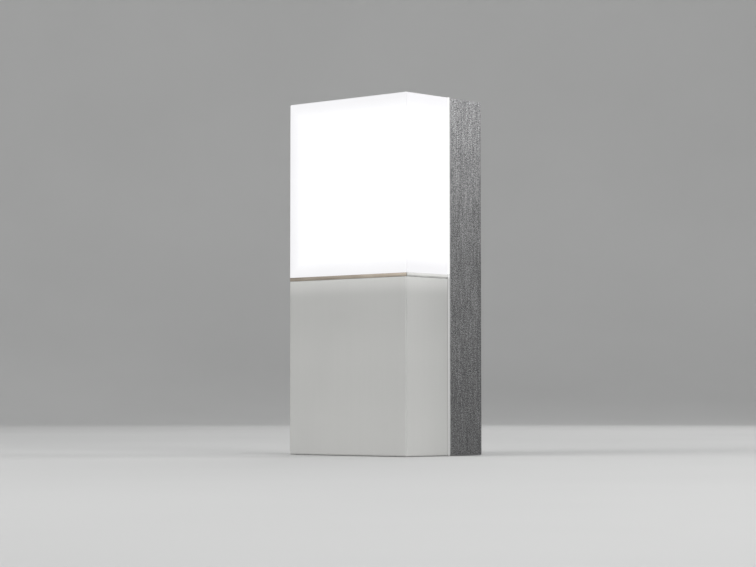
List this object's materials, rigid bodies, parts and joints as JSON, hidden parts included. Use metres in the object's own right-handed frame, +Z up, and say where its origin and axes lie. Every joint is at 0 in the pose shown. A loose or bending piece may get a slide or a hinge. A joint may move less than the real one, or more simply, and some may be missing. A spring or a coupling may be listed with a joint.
{
  "type": "outdoor wall lantern",
  "caption": "Box-shaped outdoor wall lantern: lit opal box above a silver-grey lift-off service cover, on a textured dark metal housing.",
  "frame": {"origin": "centre of the rear housing's flat back face, which lies on the wall", "axes": "+Y into the wall, -Y is the lantern's front, +X to the right seen from the front, +Z up"},
  "size_m": [0.112, 0.08, 0.25],
  "materials": {
    "textured_metal": "satin",
    "silver_paint": "satin",
    "opal_plastic": "satin",
    "bronze_strip": "satin",
    "white_plastic": "satin",
    "white_silicone": "matte",
    "black_foam": "matte",
    "black_rubber": "matte",
    "raw_aluminium": "satin",
    "zinc_steel": "satin",
    "stainless": "satin",
    "brass": "satin",
    "board_white": "satin",
    "led_phosphor": "satin",
    "driver_plastic": "matte",
    "driver_lid_plastic": "satin",
    "terminal_plastic": "satin",
    "brown_wire": "satin",
    "blue_wire": "satin",
    "green_yellow_wire": "satin",
    "red_wire": "satin",
    "black_wire": "satin"
  },
  "bodies": {
    "housing": {"board_connector": "white_plastic", "bracket_screw_left": "zinc_steel", "bracket_screw_right": "zinc_steel", "cable_clamp": "white_plastic", "cable_grommet": "black_rubber", "carrier_plate": "raw_aluminium", "carrier_screw_left": "zinc_steel", "carrier_screw_right": "zinc_steel", "clamp_screw_left": "zinc_steel", "clamp_screw_right": "zinc_steel", "cover_bracket": "zinc_steel", "cover_clip_left": "stainless", "cover_clip_right": "stainless", "cover_gasket": "white_silicone", "diffuser": "opal_plastic", "diffuser_gasket": "white_silicone", "diffuser_screw_left_lower": "stainless", "diffuser_screw_left_upper": "stainless", "diffuser_screw_right_lower": "stainless", "diffuser_screw_right_upper": "stainless", "divider_plate": "white_plastic", "divider_screw_left": "zinc_steel", "divider_screw_right": "zinc_steel", "driver_case": "driver_plastic", "driver_lid": "driver_lid_plastic", "driver_screw_left": "zinc_steel", "driver_screw_right": "zinc_steel", "earth_screw": "brass", "earth_washer": "zinc_steel", "led_1": "led_phosphor", "led_2": "led_phosphor", "led_3": "led_phosphor", "led_4": "led_phosphor", "led_5": "led_phosphor", "led_6": "led_phosphor", "led_board": "board_white", "rear_housing": "textured_metal", "ring_terminal": "zinc_steel", "terminal_block": "terminal_plastic", "terminal_insert_1": "brass", "terminal_insert_2": "brass", "terminal_insert_3": "brass", "terminal_screw_1": "zinc_steel", "terminal_screw_2": "zinc_steel", "terminal_screw_3": "zinc_steel", "terminal_screw_4": "zinc_steel", "terminal_screw_5": "zinc_steel", "terminal_screw_6": "zinc_steel", "trim_strip": "bronze_strip", "wall_gasket": "black_foam", "wire_earth": "green_yellow_wire", "wire_led_minus": "black_wire", "wire_led_plus": "red_wire", "wire_live": "brown_wire", "wire_neutral": "blue_wire"},
    "cover": {"lower_cover": "silver_paint"},
    "washer_left": {"cover_washer_left": "black_rubber"},
    "washer_right": {"cover_washer_right": "black_rubber"},
    "screw_left": {"cover_screw_left": "stainless"},
    "screw_right": {"cover_screw_right": "stainless"}
  },
  "joints": [
    {"name": "cover_slide", "type": "slide", "parent": "housing", "child": "cover", "axis": [0, -1, 0], "range_m": [0, 0.06]},
    {"name": "screw_left_travel", "type": "slide", "parent": "housing", "child": "washer_left", "axis": [0, 0, -1], "range_m": [0, 0.0021]},
    {"name": "screw_left_turn", "type": "hinge", "parent": "washer_left", "child": "screw_left", "pos_m": [-0.028, -0.046, -0.1209], "axis": [0, 0, -1], "range_deg": [0, 1080]},
    {"name": "screw_right_travel", "type": "slide", "parent": "housing", "child": "washer_right", "axis": [0, 0, -1], "range_m": [0, 0.0021]},
    {"name": "screw_right_turn", "type": "hinge", "parent": "washer_right", "child": "screw_right", "pos_m": [0.028, -0.046, -0.1209], "axis": [0, 0, -1], "range_deg": [0, 1080]}
  ],
  "couplings": [
    {"joint": "screw_left_turn", "follows": "screw_left_travel", "rad_per_m": 8976},
    {"joint": "screw_right_turn", "follows": "screw_right_travel", "rad_per_m": 8976}
  ]
}
